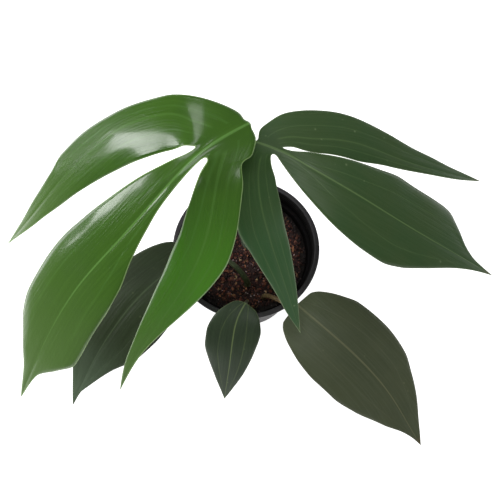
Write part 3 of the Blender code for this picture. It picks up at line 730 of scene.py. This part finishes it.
def mix_material():
    """Damp peat, bark and pale chips: each grain has its own shade; a painted shade darkens the mix along the
    wall.
    """
    paint, graph, shader = start_material("potting_mix", Specular_IOR_Level=.35)
    place = graph.place()
    kind = graph.mark("grain_kind")
    shades = []
    for stops in MIX_SHADES:
        ramp = graph.node("ShaderNodeValToRGB", None, Fac=graph.mark("grain_shade"))
        steps = ramp.color_ramp.elements
        while len(steps) < len(stops):
            steps.new(1)
        for step, (position, code) in zip(steps, stops):
            step.position = position
            step.color = tone(code)
        shades.append(ramp.outputs[0])
    color = graph.mix(graph.band(kind, .4, .6), shades[0], shades[1])
    color = graph.mix(graph.band(kind, 1.4, 1.6), color, shades[2])
    cloud = graph.noise(place, 700., 4., .65)
    color = graph.mix(graph.band(cloud, .3, .75, 0., .6), color, tone("150d0d"))
    # painted shade: the mix darkens towards the pot wall
    wall_shade = graph.band(graph.polar(place)[0], WALL_SHADE_FROM, WALL_SHADE_FULL, 0., WALL_SHADE_SHARE)
    color = graph.mix(wall_shade, color, tone("0c0808"))
    dress(graph, shader, color, .62 + cloud * .3, cloud, .9, .0003)
    return paint


# ---------------------------------------------------------------- pot

POT_SIDES = 192
WALL = .0014
LIP_WIDTH = .0044
LIP_DROP = .0028
COLLAR_HEIGHT = .0125
COLLAR_TAPER = .0018
LEDGE_WIDTH = .0024
POT_FLOOR = .0018
BASE_RADIUS = .046
DRAIN_HOLES = 6
DRAIN_RADIUS = .0045
DRAIN_CIRCLE = .70 * BASE_RADIUS
DRAIN_TURN = .29
RIDGE = .0003
LIP_FALL = .0006
LIP_SHINE = .3
WALL_SHINE = .04
MIX_BELOW_RIM = .020
SHARP_ANGLE = 50


def inner_wall_radius(height):
    ledge = RIM_TOP - COLLAR_HEIGHT - LIP_DROP
    low = BASE_RADIUS - WALL
    high = RIM_RADIUS - LIP_WIDTH - COLLAR_TAPER - LEDGE_WIDTH
    return low + (high - low) * (height - POT_FLOOR) / (ledge - POT_FLOOR)


def arc(centre, radius, start, stop, steps=4):
    """Points of a rounded corner, from one angle in degrees to another."""
    return [(centre[0] + radius * math.cos(math.radians(start + (stop - start) * k / steps)),
             centre[1] + radius * math.sin(math.radians(start + (stop - start) * k / steps)))
            for k in range(steps + 1)]


def pot_outline():
    """Radius and height, up the outside, over the lip and down the inside; with wear and inside marks."""
    ledge = RIM_TOP - COLLAR_HEIGHT - LIP_DROP
    wall_top = inner_wall_radius(ledge)
    collar_low = wall_top + LEDGE_WIDTH
    collar_high = RIM_RADIUS - LIP_WIDTH
    lip_low = RIM_TOP - LIP_DROP
    bevel = WALL / 2
    rows = [(DRAIN_CIRCLE + DRAIN_RADIUS, 0, 0, 0), (BASE_RADIUS - WALL, 0, .2, 0)]
    rows += [(r, z, .8, 0) for r, z in arc((BASE_RADIUS - WALL, WALL), WALL, -80, -10)]
    for k in range(1, 9):
        share = k / 9
        rows.append((BASE_RADIUS + (wall_top + WALL - BASE_RADIUS) * share, WALL + (ledge - 2 * WALL) * share,
                     0, 0))
    rows += [(wall_top + WALL, ledge - WALL, 0, 0), (wall_top + WALL + .0006, ledge - WALL + .0003, .2, 0),
             (collar_low + WALL - .0005, ledge + .0002, .6, 0), (collar_low + WALL, ledge + WALL, .3, 0)]
    rows += [(collar_low + WALL + (collar_high - collar_low) * .5, (ledge + WALL + lip_low) / 2, 0, 0),
             (collar_high + WALL, lip_low, 0, 0)]
    rows += [(r, z, 1, 0) for r, z in arc((RIM_RADIUS - bevel, lip_low + bevel), bevel, -90, 0)]
    rows += [(r, z, 1, 0) for r, z in arc((RIM_RADIUS - bevel, RIM_TOP - LIP_FALL - bevel), bevel, 0, 82)]
    rows += [(RIM_RADIUS - LIP_WIDTH / 2, RIM_TOP - LIP_FALL / 2, .6, 0)]
    rows += [(r, z, .8, .3) for r, z in arc((collar_high + bevel, RIM_TOP - bevel), bevel, 90, 180)]
    for k in range(1, 5):
        height = RIM_TOP - bevel - (COLLAR_HEIGHT + LIP_DROP - WALL - bevel) * (k - .5) / 4.5
        radius = collar_high - (collar_high - collar_low) * (k - .5) / 4.5
        rows += [(radius, height + 2.4 * RIDGE, 0, 1), (radius - RIDGE, height + RIDGE, .2, 1),
                 (radius - RIDGE, height, .2, 1), (radius, height - 1.4 * RIDGE, 0, 1)]
    rows += [(collar_low, ledge + WALL * .8, 0, 1), (collar_low - .0004, ledge + .0004, 0, 1),
             (wall_top + .0008, ledge, 0, 1), (wall_top + .0001, ledge - .0005, .15, 1),
             (inner_wall_radius(ledge - .004), ledge - .004, 0, 1),
             (inner_wall_radius(RIM_TOP / 2), RIM_TOP / 2, 0, 1),
             (inner_wall_radius(POT_FLOOR + WALL), POT_FLOOR + WALL, 0, 1),
             (BASE_RADIUS - 2 * WALL, POT_FLOOR, 0, 1), (DRAIN_CIRCLE + DRAIN_RADIUS, POT_FLOOR, 0, 1)]
    return rows


def circle(radius, height, count):
    """Points set evenly round the pot's axis."""
    turns = [2 * math.pi * k / count for k in range(count)]
    return [(radius * math.cos(turn), radius * math.sin(turn), height) for turn in turns]


def make_pot(paint):
    """Turned shell with a drilled floor: outline rings first, then hub, web and holes on both faces."""
    shape = bmesh.new()
    wear = shape.verts.layers.float.new("edge_wear")
    inside = shape.verts.layers.float.new("inside")

    def add_vert(place, worn, within):
        vert = shape.verts.new(place)
        vert[wear] = worn
        vert[inside] = within
        return vert

    rings = [[add_vert(place, worn, within) for place in circle(radius, height, POT_SIDES)]
             for radius, height, worn, within in pot_outline()]
    for low, high in zip(rings, rings[1:]):
        for k in range(POT_SIDES):
            n = (k + 1) % POT_SIDES
            shape.faces.new((low[k], low[n], high[n], high[k]))
    per = POT_SIDES // DRAIN_HOLES
    hub = DRAIN_CIRCLE - 1.6 * DRAIN_RADIUS
    hole_ring = {}
    for level, outer in ((0, rings[0]), (1, rings[-1])):
        height = POT_FLOOR * level
        centre = add_vert((0, 0, height), 0, level)
        inner = [add_vert(place, 0, level) for place in circle(hub, height, POT_SIDES)]
        for k in range(POT_SIDES):
            loop = (centre, inner[(k + 1) % POT_SIDES], inner[k])
            shape.faces.new(loop if level == 0 else loop[::-1])
        first = round(DRAIN_TURN * per) - per // 2
        for hole in range(DRAIN_HOLES):
            ids = [(first + hole * per + k) % POT_SIDES for k in range(per + 1)]
            middle = 2 * math.pi * (hole + DRAIN_TURN) / DRAIN_HOLES
            border = [inner[k] for k in ids] + [outer[k] for k in reversed(ids)]
            count = len(border)
            x, y = DRAIN_CIRCLE * math.cos(middle), DRAIN_CIRCLE * math.sin(middle)
            round_hole = []
            for vert in border:
                away = math.atan2(vert.co.y - y, vert.co.x - x)
                edge = (x + DRAIN_RADIUS * math.cos(away), y + DRAIN_RADIUS * math.sin(away), height)
                round_hole.append(add_vert(edge, .5, level))
            for k in range(count):
                n = (k + 1) % count
                loop = (border[k], border[n], round_hole[n], round_hole[k])
                shape.faces.new(loop if level == 1 else loop[::-1])
            hole_ring[level, hole] = round_hole
    for hole in range(DRAIN_HOLES):
        low, high = hole_ring[0, hole], hole_ring[1, hole]
        for k in range(len(low)):
            n = (k + 1) % len(low)
            shape.faces.new((low[k], high[k], high[n], low[n]))
    bmesh.ops.recalc_face_normals(shape, faces=shape.faces)
    for face in shape.faces:
        face.smooth = True
    mesh = bpy.data.meshes.new("pot_shell")
    shape.to_mesh(mesh)
    shape.free()
    pot = link_mesh("pot_shell", mesh, paint)
    mesh.set_sharp_from_angle(angle=math.radians(SHARP_ANGLE))
    return pot


# ---------------------------------------------------------------- potting mix

MIX_SIDES = 120
MIX_RINGS = 40
MIX_DOME = .003
MIX_EDGE_GAP = .0004
MIX_FLOOR_GAP = .0008
MIX_CORNER = .003
GRAIN_SETS = (
    # kind, per square metre, smallest, largest, flatness, stretch, seed
    (0, 200000, .0006, .0016, .8, 1.35, 3),
    (1, 60000, .0006, .0018, .5, 2.2, 7),
    (2, 28000, .0004, .0010, .8, 1.3, 11),
)


def mix_top(x, y, edge):
    """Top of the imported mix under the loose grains: low dome, lumps and small pits."""
    dome = MIX_DOME * (1 - (x * x + y * y) / edge ** 2)
    lumps = math.sin(210 * x + 1.3) * math.cos(260 * y - .4) + math.sin(390 * y + 130 * x)
    small = math.sin(1400 * x + 2) * math.sin(1250 * y + .6) + math.sin(2300 * y - 900 * x)
    return RIM_TOP - MIX_BELOW_RIM - MIX_DOME + dome + .0006 * lumps + .00018 * small - .0006


def make_mix_plug():
    """Closed plug that fills the pot under the loose grains."""
    edge = inner_wall_radius(RIM_TOP - MIX_BELOW_RIM - MIX_DOME) - MIX_EDGE_GAP
    foot = POT_FLOOR + MIX_FLOOR_GAP
    verts, faces = [(0, 0, mix_top(0, 0, edge))], []
    for ring in range(1, MIX_RINGS + 1):
        verts += [(x, y, mix_top(x, y, edge)) for x, y, _ in circle(edge * ring / MIX_RINGS, 0, MIX_SIDES)]
    low = inner_wall_radius(foot + MIX_CORNER) - MIX_EDGE_GAP
    verts += circle(low, foot + MIX_CORNER, MIX_SIDES) + circle(low - MIX_CORNER, foot, MIX_SIDES)
    verts.append((0, 0, foot))
    for k in range(MIX_SIDES):
        faces.append((0, 1 + k, 1 + (k + 1) % MIX_SIDES))
    for ring in range(MIX_RINGS + 1):
        a = 1 + ring * MIX_SIDES
        b = a + MIX_SIDES
        for k in range(MIX_SIDES):
            n = (k + 1) % MIX_SIDES
            faces.append((a + k, b + k, b + n, a + n))
    last = 1 + (MIX_RINGS + 1) * MIX_SIDES
    for k in range(MIX_SIDES):
        faces.append((last + k, len(verts) - 1, last + (k + 1) % MIX_SIDES))
    mesh = bpy.data.meshes.new("mix_plug")
    mesh.from_pydata(verts, [], faces)
    mesh.polygons.foreach_set("use_smooth", [True] * len(mesh.polygons))
    return mesh


def make_scatter_group():
    """Loose grains of one kind on the upward faces, turned and stretched at random."""
    inputs = [("Geometry", GEOMETRY, None), ("Kind", FLOAT, 0.), ("Per Square Metre", FLOAT, 1000.),
              ("Smallest", FLOAT, .0005), ("Largest", FLOAT, .001), ("Flatness", FLOAT, .7),
              ("Stretch", FLOAT, 1.4), ("Seed", INTEGER, 1), ("Reach", FLOAT, .05)]
    graph, get, put = new_group("scatter_grains", "GeometryNodeTree", inputs, [("Grains", GEOMETRY)])
    def draw(apart, low, high, kind="FLOAT", first=2, output=1):
        """Random value between two bounds; apart keeps one draw from repeating another."""
        node = graph.node("FunctionNodeRandomValue", {"data_type": kind})
        graph.plug(node.inputs[first], low)
        graph.plug(node.inputs[first + 1], high)
        graph.plug(node.inputs["Seed"], get["Seed"] + apart if apart else get["Seed"])
        return Value(graph, node.outputs[output])

    def store(geometry, name, value):
        return graph.read(0, "GeometryNodeStoreNamedAttribute", {"data_type": "FLOAT", "domain": "INSTANCE"},
                          Geometry=geometry, Name=name, Value=value)

    normal = graph.read(0, "GeometryNodeInputNormal")
    up = graph.read(2, "ShaderNodeSeparateXYZ", None, Vector=normal)
    position = graph.read(0, "GeometryNodeInputPosition")
    chosen = (up > .6) * (graph.polar(position)[0] < get["Reach"])
    points = graph.read("Points", "GeometryNodeDistributePointsOnFaces", None, Mesh=get["Geometry"],
                        Selection=chosen, Density=get["Per Square Metre"], Seed=get["Seed"])
    grain = graph.read("Mesh", "GeometryNodeMeshIcoSphere", None, Radius=1., Subdivisions=1)
    size = draw(0, get["Smallest"], get["Largest"])
    scale = graph.combine(size * draw(5., 1., get["Stretch"]), size, size * get["Flatness"])
    turn = draw(9., (-.9, -.9, 0), (.9, .9, 2 * math.pi), "FLOAT_VECTOR", 0, 0)
    spread = graph.read(0, "GeometryNodeInstanceOnPoints", None, Points=points, Instance=grain, Scale=scale,
                        Rotation=turn)
    shaded = store(spread, "grain_shade", draw(13., 0., 1.))
    kinded = store(shaded, "grain_kind", get["Kind"])
    solid = graph.read(0, "GeometryNodeRealizeInstances", None, Geometry=kinded)
    rough = graph.read("Color", "ShaderNodeTexNoise", None, Vector=position, Scale=900., Detail=1.)
    shift = graph.node("ShaderNodeVectorMath", {"operation": "SUBTRACT"})
    graph.plug(shift.inputs[0], rough)
    graph.plug(shift.inputs[1], (.5, .5, .5))
    push = graph.node("ShaderNodeVectorMath", {"operation": "SCALE"}, Scale=get["Smallest"] * 1.8)
    graph.plug(push.inputs[0], shift.outputs[0])
    moved = graph.node("GeometryNodeSetPosition", None, Geometry=solid, Offset=push.outputs[0])
    graph.plug(put["Grains"], moved.outputs[0])
    return graph.tree


def make_loose_mix(paint):
    """Plug and its three kinds of grain joined in one piece."""
    sets = make_scatter_group()
    graph, get, put = new_group("loose_mix", "GeometryNodeTree",
                                [("Geometry", GEOMETRY, None), ("Fullness", FLOAT, 1.)],
                                [("Geometry", GEOMETRY)])
    join = graph.node("GeometryNodeJoinGeometry")
    edge = inner_wall_radius(RIM_TOP - MIX_BELOW_RIM)
    for kind, density, small, large, flat, stretch, seed in GRAIN_SETS:
        grains = graph.node("GeometryNodeGroup", {"node_tree": sets}, Geometry=get["Geometry"],
                            Kind=float(kind), Smallest=small, Largest=large, Flatness=flat,
                            Stretch=stretch, Seed=seed, Reach=edge - large * stretch - MIX_EDGE_GAP)
        graph.plug(grains.inputs["Per Square Metre"], get["Fullness"] * float(density))
        graph.tree.links.new(grains.outputs[0], join.inputs[0])
    shaded = graph.node("GeometryNodeStoreNamedAttribute", {"data_type": "FLOAT", "domain": "POINT"},
                        Geometry=get["Geometry"], Name="grain_shade", Value=.25)
    graph.tree.links.new(shaded.outputs[0], join.inputs[0])
    painted = graph.node("GeometryNodeSetMaterial", None, Geometry=join.outputs[0], Material=paint)
    graph.plug(put["Geometry"], painted.outputs[0])
    return bake("potting_mix_grains", make_mix_plug(), graph.tree, {"Fullness": 1.}, paint)


def bake(name, mesh, tree, values, paint):
    """Runs a geometry tree on a mesh and keeps the outcome as a plain mesh piece."""
    source = link_object(name + "_source", mesh)
    grow = source.modifiers.new("grow", "NODES")
    grow.node_group = tree
    for item in tree.interface.items_tree:
        if item.in_out == "INPUT" and item.name in values:
            grow[item.identifier] = values[item.name]
    bpy.context.view_layer.update()
    grown = source.evaluated_get(bpy.context.evaluated_depsgraph_get())
    made = bpy.data.meshes.new_from_object(grown)
    made.name = name
    source.modifiers.clear()
    bpy.data.objects.remove(source, do_unlink=True)
    return link_mesh(name, made, paint)


# ---------------------------------------------------------------- stalks

TUBE_AROUND = 28
STALK_ROWS = 140
JOINT_RINGS = (.885, .97)
STEM_RADIUS = 4.6


def make_tube_group():
    """Skin round a line of points, as wide as the girth stored on each."""
    graph, get, put = new_group("stalk_skin", "GeometryNodeTree",
                                [("Geometry", GEOMETRY, None), ("Around", INTEGER, 24),
                                 ("Paint", "NodeSocketMaterial", None)], [("Geometry", GEOMETRY)])
    line = graph.node("GeometryNodeMeshToCurve")
    graph.plug(line.inputs[0], get["Geometry"])
    girth = graph.node("GeometryNodeInputNamedAttribute", {"data_type": "FLOAT"}, Name="girth")
    ring = graph.node("GeometryNodeCurvePrimitiveCircle", None, Resolution=get["Around"], Radius=1.)
    turn = graph.node("GeometryNodeSplineParameter")
    marked = graph.node("GeometryNodeStoreNamedAttribute", {"data_type": "FLOAT", "domain": "POINT"},
                        Geometry=ring.outputs[0], Name="around", Value=turn.outputs[0])
    skin = graph.node("GeometryNodeCurveToMesh", None, Curve=line.outputs[0], Scale=girth.outputs[0])
    graph.plug(skin.inputs["Profile Curve"], marked.outputs[0])
    graph.plug(skin.inputs["Fill Caps"], True)
    smooth = graph.node("GeometryNodeSetShadeSmooth", None)
    graph.plug(smooth.inputs[0], skin.outputs[0])
    painted = graph.node("GeometryNodeSetMaterial", None, Geometry=smooth.outputs[0],
                         Material=get["Paint"])
    graph.plug(put["Geometry"], painted.outputs[0])
    return graph.tree


def stalk_line(name, path, girth, rings):
    """Line of points along a smooth path, with girth in millimetres given by a function of fraction."""
    curve = Curve(path)
    steps = np.linspace(0, 1, STALK_ROWS)
    points = [tuple(curve.at(t) * MM + np.array((0, 0, RIM_TOP))) for t in steps]
    mesh = bpy.data.meshes.new(name + "_line")
    mesh.from_pydata(points, [(k, k + 1) for k in range(STALK_ROWS - 1)], [])
    ring = [max((math.exp(-((t - r) * curve.length / .9) ** 2) for r in rings), default=0) for t in steps]
    marks = {"girth": [girth(t) * MM for t in steps], "along_mm": list(steps * curve.length), "ring": ring}
    for mark, values in marks.items():
        layer = mesh.attributes.new(mark, "FLOAT", "POINT")
        layer.data.foreach_set("value", values)
    return mesh


def round_ends(t, length, radius):
    """Closes both ends of a stalk with a soft round cap."""
    out = 1
    for gap in (t * length, (1 - t) * length):
        share = min(gap / radius, 1)
        out *= math.sqrt(max(1 - (1 - share) ** 2, .0025))
    return out


def stalk_girth(radii, length):
    """Sheath that flares at the foot, slim middle, and a swollen joint just under the blade."""
    def girth(t):
        base = radii[0] + (radii[1] - radii[0]) * t
        sheath = 1 + .22 * math.exp(-(t / .12) ** 2)
        joint = 1 + .2 * math.exp(-((t - .93) / .035) ** 2)
        return base * sheath * joint * round_ends(t, length, .8)
    return girth


def skin_line(name, path, girth, rings, tube, paint):
    line = stalk_line(name, path, girth, rings)
    return bake(name, line, tube, {"Around": TUBE_AROUND, "Paint": paint}, paint)


def make_stalk(name, shape, tube, paint):
    length = Curve(shape["path"]).length
    return skin_line(name, shape["path"], stalk_girth(shape["radii"], length), JOINT_RINGS, tube, paint)


def make_stem(tube, paint):
    """Short upright stem with a ring scar and a slight swelling at each node."""
    curve = Curve(STEM_PATH)
    steps = np.linspace(0, 1, 201)
    rings = [steps[int(np.argmin([abs(curve.at(t)[2] - height) for t in steps]))] for height in NODE_HEIGHTS]

    def girth(t):
        swell = sum(.16 * math.exp(-((t - r) * curve.length / 2.4) ** 2) for r in rings)
        pinch = sum(.07 * math.exp(-((t - r) * curve.length / .5) ** 2) for r in rings)
        return STEM_RADIUS * (1 + swell - pinch) * (.9 + .1 * (1 - t)) * round_ends(t, curve.length, 2.)

    return skin_line("main_stem", STEM_PATH, girth, rings, tube, paint)


def make_tip(tube, paint):
    """Rolled new leaf in its sheath: thick at the foot, drawn to a point."""
    length = Curve(TIP_SHEATH["path"]).length
    low, high = TIP_SHEATH["radii"]

    def girth(t):
        return (low + (high - low) * t ** 1.3) * (1 + .12 * math.sin(math.pi * t)) * round_ends(t, length, .4)

    return skin_line("growing_tip_sheath", TIP_SHEATH["path"], girth, (.3,), tube, paint)


# ---------------------------------------------------------------- finishes

# Tip here is painted sheen: the lobes turn paler towards their ends.
NEWEST_LOOK = dict(
    Green="3a6212", Deep="2f560f", Light="487220", Rib="5c8a3c",
    Nerve="55853a", Edge="8fb06a", Tip="5c7d3c", Under="5d8a45",
    Rib_Width=1.1, Nerve_Width=1.1, Nerve_Strength=.25, Edge_Width=.8, Tip_Start=.42, Streaks=.35,
    Mottle=.5, Specks=.0, Roughness=.25, Lobe_Rib=.3, Lower_Lobe="4a8a1c", Lower_Share=.75, Relief=1.2)
DARK_LOBED_LOOK = dict(
    Green="395129", Deep="304f28", Light="465c36", Rib="587242",
    Nerve="5a7446", Edge="7d9068", Tip="5a4c34", Under="4b6040",
    Rib_Width=.9, Nerve_Width=.7, Nerve_Strength=.35, Edge_Width=.6, Tip_Start=.93, Streaks=.3,
    Mottle=.6, Specks=.5, Roughness=.44, Lobe_Rib=.45, Lower_Lobe="2b5a2b", Lower_Share=.65,
    Relief=1.)
RIGHT_ENTIRE_LOOK = dict(
    Green="4f563e", Deep="474f39", Light="5a624c", Rib="696c50",
    Nerve="5e634c", Edge="6d7256", Tip="5c4630", Under="565b45",
    Rib_Width=1.2, Nerve_Width=.7, Nerve_Strength=.5, Edge_Width=.6, Tip_Start=.93, Streaks=.4,
    Mottle=.6, Specks=.4, Roughness=.5, Lobe_Rib=.6, Relief=1.)
SMALL_ENTIRE_LOOK = dict(
    Green="31402a", Deep="2a3826", Light="3d4c34", Rib="65744a",
    Nerve="5f6e46", Edge="67754f", Tip="a59a54", Under="4c5a3e",
    Rib_Width=.9, Nerve_Width=.7, Nerve_Strength=.55, Edge_Width=.5, Tip_Start=.94, Streaks=.4,
    Mottle=.6, Specks=.8, Roughness=.48, Lobe_Rib=.6, Relief=1.)
# Tip here is painted sheen: the blade turns paler towards its tip.
LEFT_ENTIRE_LOOK = dict(
    Green="2e3b20", Deep="27321b", Light="3f4c34", Rib="47563a",
    Nerve="414e36", Edge="56633f", Tip="60735a", Under="4a543c",
    Rib_Width=1.1, Nerve_Width=.7, Nerve_Strength=.5, Edge_Width=.5, Tip_Start=.5, Streaks=.4,
    Mottle=.6, Specks=.5, Roughness=.5, Lobe_Rib=.6, Relief=1.)


def show(piece, node):
    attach(piece, "root")
    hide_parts(node)


BLADES = (
    # piece, node, shape, look, gloss, coat, coat roughness, seed
    ("newest_leaf_blade", "newest_blade", NEWEST_BLADE, NEWEST_LOOK, .2, .6, .14, .4),
    ("dark_lobed_leaf_blade", "dark_lobed_blade", DARK_LOBED_BLADE, DARK_LOBED_LOOK, .3, .05, .3, 2.1),
    ("right_entire_leaf_blade", "right_entire_blade", RIGHT_ENTIRE_BLADE, RIGHT_ENTIRE_LOOK, .2, .03,
     .3, 4.),
    ("small_entire_leaf_blade", "small_entire_blade", SMALL_ENTIRE_BLADE, SMALL_ENTIRE_LOOK, .3, .04, .3, 1.),
    ("left_entire_leaf_blade", "left_entire_blade", LEFT_ENTIRE_BLADE, LEFT_ENTIRE_LOOK, .3, .04, .3, 3.),
)
for name, node, blade, look, gloss, coat, coat_roughness, seed in BLADES:
    show(make_blade(name, blade, leaf_material(node, gloss, coat, coat_roughness, look), seed), node)

show(make_pot(pot_material()), "pot")
show(make_loose_mix(mix_material()), "potting_mix")

stalk_skin = make_tube_group()
STALK_TONES = {"newest_petiole": ("4c7431", "3c6227", "7f9c5c"),
               "dark_lobed_petiole": ("3b5330", "2f4528", "64784c"),
               "right_entire_petiole": ("7a6444", "5c4c34", "a08c64"),
               "small_entire_petiole": ("3c3f2c", "2e3122", "6a6a4c"),
               "left_entire_petiole": ("55603f", "414b33", "7a8460")}
for node, shape in STALKS.items():
    show(make_stalk(node + "_stalk", shape, stalk_skin, stalk_material(node, *STALK_TONES[node])), node)
show(make_stem(stalk_skin, stalk_material("stem", "3d3a2a", "2b2a20", "6a6448", .55)), "stem")
show(make_tip(stalk_skin, stalk_material("growing_tip", "2f4224", "25351d", "4a5b3c")), "growing_tip")


# ---------------------------------------------------------------- floor, lights, camera

def make_floor():
    paint, graph, shader = start_material("pale_floor", Roughness=.9, Emission_Strength=1.)
    shader.inputs["Base Color"].default_value = (.9, .9, .9, 1)
    shader.inputs["Emission Color"].default_value = (1, 1, 1, 1)
    shape = bmesh.new()
    bmesh.ops.create_grid(shape, x_segments=2, y_segments=2, size=4)
    mesh = bpy.data.meshes.new("floor")
    shape.to_mesh(mesh)
    shape.free()
    link_mesh("floor", mesh, paint)


def add_softbox(name, place, aim, size, power):
    data = bpy.data.lights.new(name, "AREA")
    data.shape = "RECTANGLE"
    data.size, data.size_y = size
    data.energy = power
    lamp = link_object(name, data)
    lamp.location = place
    lamp.rotation_euler = (Vector(aim) - Vector(place)).to_track_quat("-Z", "Y").to_euler()


CAMERA_TILT = math.radians(18.5)
CAMERA_AIM = Vector((.0035, -.0031, .112))
CAMERA_REACH = .613
WORLD_LIGHT = .24

make_floor()
add_softbox("window", (-1.064, .284, .782), (-.08, 0, .26), (.3, .68), 7.2)
add_softbox("skylight", (-.25, .95, 1.21), (-.02, .03, .29), (.26, .1), .5)
add_softbox("overhead", (0, .1, 1.8), (0, 0, .2), (1., 1.), 11.5)
world = bpy.data.worlds.new("studio")
world.use_nodes = True
backdrop = world.node_tree.nodes["Background"]
backdrop.inputs["Color"].default_value = (1, 1, 1, 1)
backdrop.inputs["Strength"].default_value = WORLD_LIGHT
bpy.context.scene.world = world

lens = bpy.data.cameras.new("camera")
lens.lens = 50
lens.sensor_width = 36
camera = link_object("camera", lens)
camera.location = CAMERA_AIM + CAMERA_REACH * Vector((0, -math.sin(CAMERA_TILT), math.cos(CAMERA_TILT)))
camera.rotation_euler = (CAMERA_TILT, 0, 0)
bpy.context.scene.camera = camera
bpy.context.scene.view_settings.view_transform = "Standard"
bpy.context.scene.view_settings.look = "None"
